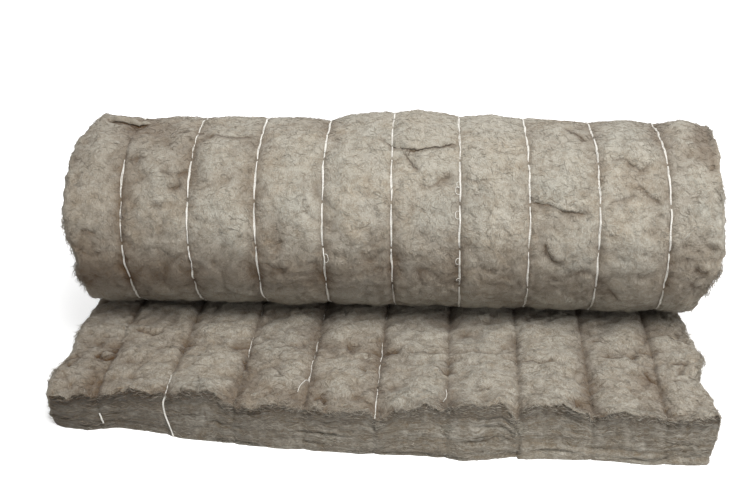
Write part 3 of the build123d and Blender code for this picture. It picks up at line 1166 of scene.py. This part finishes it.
# The loose ends of thread, by seam: tails down the cut, wisps on the flap by pixel, and loops by pixel and size
TAILS = {
    1: [(1.0, 0.0), (0.8, -4.0), (0.5, -1.0), (0.25, 5.0), (0.0, 11.0)],
    0: [(0.5, 2.5), (0.36, 4.5), (0.2, 6.5)],
}
WISPS = {
    3: [(310, 371), (307, 377), (303, 382), (299, 386), (297, 390)],
    5: [(446, 385), (447, 389), (446, 394), (443, 398)],
}
LOOPS = {
    3: [((326, 259), -8.0)],
    5: [((456, 184), 5.0), ((456, 190), 7.0), ((456, 215), 7.0), ((457, 263), 6.0), ((457, 282), 5.0)],
}


def stitching(index, kind):
    """The parts of a seam's stitching in one face of the mat."""
    seed = 300 + index + 50 * (kind == "inner")
    if kind == "outer":
        line, up, swell = roll_thread(index)
        loops = [tube(roll_loop(index, *loop), LOOP_RADIUS) for loop in LOOPS.get(index, [])]
        return [bundle(line, up, seed, 1.0, swell), *loops]
    parts = [bundle(*flap_thread(index), seed, 0.55)]
    if index in TAILS:
        parts.append(bundle(*cut_tail(index, TAILS[index]), seed + 5, 0.8))
    if index in WISPS:
        parts.append(tube(flap_wisp(WISPS[index]), WISP_RADIUS))
    return parts


for index in range(len(SEAMS)):
    for kind in ("outer", "inner"):
        points, found = join(stitching(index, kind))
        points[:, 2] = np.maximum(points[:, 2], 0.0)
        piece = make_mesh(f"{kind}_stitching_{index + 1}", points, found)
        piece.data.materials.append(thread)
        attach(piece, "root")
        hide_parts(f"{kind}_thread_{index + 1}")

# Lips of torn wool that hang over the creases

LIP_STEP = 1.8
# A lip of this length or more has its full height and sway
LONG_LIP = 110.0
# The lip's section: how far each line lies above the crease, in widths, its height, and how much painted shade darkens
# the wool there, most under the lip
LIP_PROFILE = [
    (1.0, -2.5, 0.05), (0.7, 0.1, 0.0), (0.35, 0.75, 0.0), (0.0, 1.0, 0.0), (-0.25, 0.85, 0.1), (-0.32, 0.5, 0.6),
    (-0.2, 0.25, 0.85), (0.1, 0.1, 0.85), (0.5, -0.6, 0.85),
]


def lip(line, height, width, face, seed):
    """Points, faces and painted shades of a torn lip along a crease: sunk in the wool above it, ragged and free below
    it.
    """
    line = np.array(line)
    lengths = np.concatenate([[0], np.cumsum(np.hypot(*np.diff(line, axis=0).T))])
    places = np.arange(0, lengths[-1] + LIP_STEP, LIP_STEP)
    middle = np.stack([np.interp(places, lengths, line[:, 0]), np.interp(places, lengths, line[:, 1])], axis=1)
    steps = np.gradient(middle, axis=0)
    steps /= np.linalg.norm(steps, axis=1)[:, None]
    above = np.stack([steps[:, 1], -steps[:, 0]], axis=1)
    at = stacked(places, 0.0, seed * 9.0)
    ragged = 1.0 + octaves(at, (16.0, seed, 0.5), (5.0, seed + 1, 0.35)) * min(1.0, 8.0 / height)
    long = min(1.0, lengths[-1] / LONG_LIP)
    sway = octaves(at, (30.0, seed + 2, 3.5), (16.0, seed + 3, 2.2), (8.0, seed + 4, 1.5))
    sway *= long * min(1.0, 6.0 / height) ** 2
    height = height * (0.5 + 0.5 * long)
    ends = np.sin(np.pi * np.clip(places / lengths[-1], 0, 1)) ** 0.6
    rows, shades = [], []
    for out, rise, dark in LIP_PROFILE:
        reach = out * width * (ragged if out < 0 else 1.0) * (0.3 + 0.7 * ends) + sway
        x, s = (middle + above * reach[:, None]).T
        shades.append(np.clip(dark + broad_shade(x, s), 0, 1))
        raised = (rise * height * SHOWN_HEIGHT * ragged if rise > 0 else rise) * ends
        lift = (outer_standing if face == "outer" else inner_standing)(x, s) + raised - (1 - ends) * 2.0
        if face == "outer":
            rows.append(to_space(x, s, -lift))
        else:
            rows.append(to_space(x, s + cut_shift(x, s, 1.0), thickness(s) + lift))
    found = tube_faces(len(places), len(rows))
    if face == "inner":
        found = [f[::-1] for f in found]
    return np.stack(rows, axis=1).reshape(-1, 3), found, np.stack(shades, axis=1).ravel()


def small_lips(face, count, low, high, seed):
    """Short torn lips at seeded places between the seams."""
    rng = np.random.default_rng(seed)
    found = []
    for _ in range(count):
        strip = rng.integers(-5, 5)
        x = np.clip((strip + rng.uniform(0.12, 0.88)) * SEAM_PITCH, 45 - HALF_WIDTH, HALF_WIDTH - 45)
        s = rng.uniform(low, high)
        length, tilt = rng.uniform(12, 36), rng.normal(0, 0.5)
        bow = rng.uniform(-0.25, 0.25) * length
        ends = [(-0.5, 0.0), (-0.2, 0.8), (0.2, 0.8), (0.5, 0.0)]
        sign = 1 if face == "outer" else -1
        line = [(x + length * (t * np.cos(tilt)), s + sign * (length * t * np.sin(tilt) + bow * b)) for t, b in ends]
        found.append((line, rng.uniform(1.4, 3.2), rng.uniform(4.0, 8.0)))
    return found


def loose_wool(name, points, faces, places, shades):
    """A piece of loose wool that lies on the mat, with its points' places on the mat and their painted shades."""
    piece = make_mesh(name, points, faces)
    store(piece, "mat_place", places * MM)
    store(piece, "cut", np.zeros(len(points)))
    store(piece, "shade", shades)
    piece.data.materials.append(wool)
    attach(piece, "root")


# Creases lower than this are only pressed into the face's own mesh, and the flap's all are
LOWEST_LIP = {"outer": 5.0, "inner": 10.0}
SMALL_LIPS = {
    "outer": small_lips("outer", 34, FRONT_START - 200, FRONT_END - 90, 501),
    "inner": small_lips("inner", 46, -FLAP_LENGTH + 8, -70, 502),
}
lip_parts = []
for face in ("outer", "inner"):
    chosen = [crease for crease in CREASES[face] if crease[1] >= LOWEST_LIP[face]]
    for number, (line, height, width) in enumerate(chosen + SMALL_LIPS[face]):
        lip_parts.append(lip(line, height, width, face, 400 + number * 5 + (face == "inner") * 700))
lip_points, lip_faces = join([part[:2] for part in lip_parts])
loose_wool("torn_wool_lips", lip_points, lip_faces, lip_points, np.concatenate([part[2] for part in lip_parts]))

# Loose fibres that lie on the wool and stand out at its edges: thin spindles, placed on the mat's own surface

# A fibre's two ends and the two rings of three points between them: how far each lies along it, in lengths, how far
# to the side, in bends, and how far up
FIBRE_SHAPE = ((-0.5, 0.0, -0.6), (-0.18, 0.8, 0.5), (0.16, 1.0, 0.7), (0.5, 0.1, 1.0))
FIBRE_TURN = np.radians((0, 120, 240))
FIBRE_RADII = (0.2, 0.44)
FIBRE_ROOT = -0.6
LOWEST_RISES = (-0.2, 1.0)
TINT_REACH = 40.0
TINT_SHADES = (-0.06, 0.14)


def surface_samples():
    """The mat's triangles: the numbers and the places of their corners, their normals and their areas."""
    mesh = mat.data
    mesh.calc_loop_triangles()
    corners = np.zeros(len(mesh.loop_triangles) * 3, np.int32)
    mesh.loop_triangles.foreach_get("vertices", corners)
    corners = corners.reshape(-1, 3)
    a, b, c = (mat_points[corners[:, k]] for k in range(3))
    normal = np.cross(b - a, c - a)
    area = np.linalg.norm(normal, axis=1)
    return corners, (a, b, c), normal / np.maximum(area, 1e-9)[:, None], area / 2


def fibre_roots(weight, count, rng):
    """Where fibres are on the mat: the corners of the triangles under them, their places and the normals there."""
    corners, (a, b, c), normals, areas = TRIANGLES
    chance = areas * weight[corners].mean(axis=1)
    pick = rng.choice(len(chance), count, p=chance / chance.sum())
    r, t = rng.random(count), rng.random(count)
    over = r + t > 1
    r, t = np.where(over, 1 - r, r), np.where(over, 1 - t, t)
    root = a[pick] + (b - a)[pick] * r[:, None] + (c - a)[pick] * t[:, None]
    return corners[pick], root, normals[pick]


def fibre_directions(normal, layered, rng):
    """The directions along and to the side of fibres: any way on the faces, and nearly level where the mat is cut."""
    count = len(normal)
    angle = np.where(layered, rng.normal(0, 0.25, count), rng.uniform(0, np.pi, count))
    aside = np.cross(normal, [0.0, 0.0, 1.0]) + 1e-6
    aside = np.where(np.abs(normal[:, 2:]) > 0.9, [1.0, 0.0, 0.0], aside)
    aside -= normal * np.sum(aside * normal, axis=1)[:, None]
    aside /= np.linalg.norm(aside, axis=1)[:, None]
    upright = np.cross(normal, aside)
    ahead = aside * np.cos(angle)[:, None] + upright * np.sin(angle)[:, None]
    return ahead, np.cross(normal, ahead)


def fibres(weight, count, seed, lengths, lift, stray, paler=0.0):
    """Loose fibres as points, triangles, wool places and shades: the mat's painted shade where they lie, give or take a
    little. Weight says how likely they are at each of the mat's points, lift how far a fibre may stand off, stray how
    many do, and paler how much paler than the wool they are."""
    rng = np.random.default_rng(seed)
    corners, root, normal = fibre_roots(weight, count, rng)
    ahead, side = fibre_directions(normal, cut_weight[corners].mean(axis=1) > 0.5, rng)
    length = rng.uniform(*lengths, count)
    bend = rng.normal(0, 0.22, count) * length
    free = rng.random(count) < stray
    rise = np.where(free, rng.uniform(1.5, lift, count), rng.uniform(*LOWEST_RISES, count))
    radius = rng.uniform(*FIBRE_RADII, count)
    spots = []
    for k, (forward, bow, up) in enumerate(FIBRE_SHAPE):
        high = np.where(k == 0, FIBRE_ROOT, np.where(k == 3, rise, 0.35 + rise * up * 0.6))
        spots.append(root + ahead * (length * forward)[:, None] + side * (bend * bow)[:, None] + normal * high[:, None])
    points = np.zeros((count, 8, 3))
    points[:, 0], points[:, 7] = spots[0], spots[3]
    for ring in (0, 1):
        for j, turn in enumerate(FIBRE_TURN):
            out = side * np.cos(turn) + normal * np.sin(turn)
            points[:, 1 + ring * 3 + j] = spots[1 + ring] + out * radius[:, None]
    pattern = [(0, 2, 1), (0, 3, 2), (0, 1, 3), (7, 4, 5), (7, 5, 6), (7, 6, 4)]
    for j in range(3):
        k = (j + 1) % 3
        pattern += [(1 + j, 1 + k, 4 + k), (1 + j, 4 + k, 4 + j)]
    triangles = (np.arange(count)[:, None, None] * 8 + np.array(pattern)[None]).reshape(-1, 3)
    points = points.reshape(-1, 3)
    points[:, 2] = np.maximum(points[:, 2], 0.2)
    tint = mat_places[corners[:, 0]] + rng.uniform(-TINT_REACH, TINT_REACH, (count, 3))
    shade = SHADE[corners[:, 0]] - paler + rng.uniform(*TINT_SHADES, count)
    return points, triangles, np.repeat(tint, 8, axis=0), np.repeat(shade, 8)


def fibre_piece(name, groups):
    """A piece of loose fibres from several groups of them."""
    starts = np.cumsum([0] + [len(group[0]) for group in groups])
    triangles = np.concatenate([group[1] + start for group, start in zip(groups, starts)])
    points, tints, shades = (np.concatenate([group[k] for group in groups]) for k in (0, 2, 3))
    loose_wool(name, points, triangles, tints, shades)


# The mat's painted shade, which the fibres take where they lie
SHADE = shade_of_mat()
TRIANGLES = surface_samples()
# Where the fibres of the roll's front and back meet, how many each piece has, and how long they are
FIBRE_SPLIT = FRONT_START - 80
FRONT_COUNT, BACK_COUNT, FLAP_COUNT, CUT_LIP_COUNT = 13500, 8000, 13500, 1800
ROLL_FIBRE_LENGTHS = (7.0, 19.0)
front_face = on_outer * (along > FIBRE_SPLIT) * (along < FRONT_END - 12)
back_face = on_outer * (along > SAG + 60) * (along <= FIBRE_SPLIT)
flap_face = on_inner * (along < -14)
edges = on_edge * (along < FRONT_END + 400)
# Tufts of torn wool at the edges: which side, the place along the mat, the share of the depth, the radius, the count
TUFTS = [
    (-1, 655.0, 0.1, 7.0, 60), (-1, 735.0, 0.1, 16.0, 200), (-1, 752.0, 0.3, 12.0, 120), (-1, 690.0, 0.2, 10.0, 60),
    (1, 715.0, 0.1, 14.0, 160), (1, 735.0, 0.2, 14.0, 140), (1, 610.0, 0.1, 12.0, 60), (1, -175.0, 0.9, 14.0, 120),
    (1, -110.0, 0.9, 12.0, 80), (-1, -270.0, 0.9, 14.0, 90), (-1, -160.0, 0.9, 12.0, 80),
]


def tufts():
    """Groups of fibres that stand out of the mat's side edges."""
    found = []
    for number, (side, place, deep, radius, count) in enumerate(TUFTS):
        off = ((along - place) ** 2 + ((share_of_depth - deep) * 60) ** 2) / radius ** 2
        weight = on_edge * (np.sign(across) == side) * np.exp(-off)
        found.append(fibres(weight, count, 850 + number, (9.0, 20.0), 13.0, 0.7))
    return found


edge_front = edges * (along > FRONT_START) * 0.8
edge_back = edges * (along > 30) * (along < FRONT_START) * 0.8
lip_of_cut = (on_inner * np.exp(-(along + FLAP_LENGTH) / 5.0) + on_cut * smooth(share_of_depth, 0.8, 1.0)) * (along < 0)
front_groups = [fibres(front_face + edge_front, FRONT_COUNT, 801, ROLL_FIBRE_LENGTHS, 5.0, 0.05), *tufts()]
fibre_piece("roll_front_fibres", front_groups)
fibre_piece("roll_back_fibres", [fibres(back_face + edge_back, BACK_COUNT, 802, ROLL_FIBRE_LENGTHS, 5.0, 0.05)])
# Small tufts on the cut end, by the pixel they show at: the radius in pixels, and the count
CUT_TUFTS = [
    ((329, 440), 3.5, 150), ((520, 429), 5.0, 200), ((447, 429), 3.0, 90), ((378, 424), 2.5, 60), ((225, 401), 3.0, 70),
]


def cut_tufts():
    """Groups of fibres on the cut end at the tufts' pixels."""
    columns, rows = image_place(mat_points)
    found = []
    for number, (pixel, radius, count) in enumerate(CUT_TUFTS):
        off = ((columns - pixel[0]) ** 2 + (rows - pixel[1]) ** 2) / radius ** 2
        found.append(fibres(on_cut * np.exp(-off), count, 880 + number, (5.0, 12.0), 6.0, 0.5, 0.5))
    return found


fibre_piece("flap_fibres", [
    fibres(flap_face + edges * (along < 0) * 1.3 + on_cut * 1.2, FLAP_COUNT, 803, (6.0, 17.0), 6.0, 0.08),
    fibres(lip_of_cut, CUT_LIP_COUNT, 804, (6.0, 14.0), 6.0, 0.3, 0.5),
    *cut_tufts(),
])

# Floor, light and camera

FLOOR_SPAN = 6.0
corners = [(x * FLOOR_SPAN, y * FLOOR_SPAN, 0) for x, y in ((-1, -1), (1, -1), (1, 1), (-1, 1))]
floor_mesh = bpy.data.meshes.new("floor")
floor_mesh.from_pydata(corners, [], [(0, 1, 2, 3)])
floor = add_object("floor", floor_mesh)
ground = Nodes(bpy.data.materials.new("pale_floor"))


def background_rays(nodes):
    """1 for the rays that see the background: the camera's, and those that a shiny or clear surface sends on."""
    path = nodes.add("LightPath").outputs
    shiny = nodes.math("MAXIMUM", path["Is Camera Ray"], path["Is Glossy Ray"])
    return nodes.math("MAXIMUM", shiny, path["Is Transmission Ray"])


far = ground.add("VectorMath", {0: ground.add("TexCoord").outputs["Object"]}, operation="LENGTH").outputs["Value"]
glow_strength = ground.times(background_rays(ground), ground.ramp(far, 0.9, 2.2, 0.55, 1.0))
diffuse = ground.add("BsdfDiffuse", {"Color": (0.8, 0.8, 0.8, 1.0)})
glow = ground.add("Emission", {"Color": (1, 1, 1, 1), "Strength": glow_strength})
both = ground.add("AddShader", {0: diffuse.outputs[0], 1: glow.outputs[0]})
floor_mesh.materials.append(ground.finish("OutputMaterial", both))

WORLD_STRENGTH = 0.28
world = bpy.data.worlds.new("studio")
bpy.context.scene.world = world
sky = Nodes(world)
sky_strength = sky.ramp(background_rays(sky), 0.0, 1.0, WORLD_STRENGTH, 1.0)
sky.finish("OutputWorld", sky.add("Background", {"Color": (1, 1, 1, 1), "Strength": sky_strength}))


def area_lamp(name, place, target, size, power):
    """A soft square lamp at a place in metres, turned to a target."""
    lamp = bpy.data.lights.new(name, "AREA")
    lamp.shape = "SQUARE"
    lamp.size = size
    lamp.energy = power
    holder = add_object(name, lamp)
    holder.location = place
    holder.rotation_euler = (Vector(target) - Vector(place)).to_track_quat("-Z", "Y").to_euler()


# Each lamp's name, place, target, size in metres and power in watts
LAMPS = [
    ("top_light", (0.75, -0.95, 2.7), (0.0, 0.0, 0.1), 1.6, 88.0),
    ("back_light", (-0.8, 2.8, 1.6), (0.0, 0.0, 0.2), 1.6, 31.0),
    ("side_light", (2.4, -2.2, 1.5), (0.2, 0.0, 0.2), 1.2, 22.0),
]
for settings in LAMPS:
    area_lamp(*settings)

camera_data = bpy.data.cameras.new("photo_camera")
camera_data.sensor_width = SENSOR
camera_data.lens = FOCAL_PIXELS * SENSOR / IMAGE_SIZE[0]
camera_data.clip_end = 50.0
camera = add_object("photo_camera", camera_data)
camera_rows = np.stack([RIGHT, UP, -AHEAD, CAMERA_PLACE * MM], axis=1)
camera.matrix_world = Matrix([*camera_rows.tolist(), [0, 0, 0, 1]])
bpy.context.scene.camera = camera
bpy.context.scene.view_settings.view_transform = "Standard"
